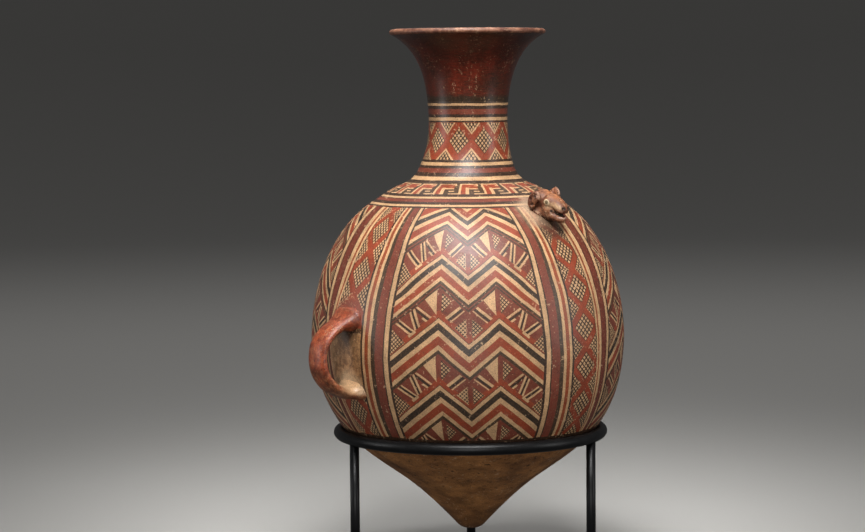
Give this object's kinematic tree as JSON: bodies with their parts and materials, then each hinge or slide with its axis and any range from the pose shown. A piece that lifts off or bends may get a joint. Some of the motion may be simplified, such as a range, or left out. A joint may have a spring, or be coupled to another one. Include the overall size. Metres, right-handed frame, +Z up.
{
  "type": "painted storage jar on ring stand",
  "caption": "Hollow painted earthenware jar with flared mouth, strap handles, pointed base and animal-head lug, held upright in a black steel ring stand on rod legs.",
  "frame": {"origin": "on the floor, centred under the jar's axis", "axes": "+Z up along the jar's axis, -Y towards the front, where the animal head on the shoulder faces, +X along the handles"},
  "size_m": [0.5358, 0.428, 0.7399],
  "materials": {
    "painted_clay": "burnished painted slip, worn",
    "black_steel": "satin"
  },
  "bodies": {
    "root": {"jar": "painted_clay", "stand_ring": "black_steel", "stand_leg_left": "black_steel", "stand_leg_right": "black_steel", "stand_leg_back": "black_steel"}
  },
  "joints": []
}
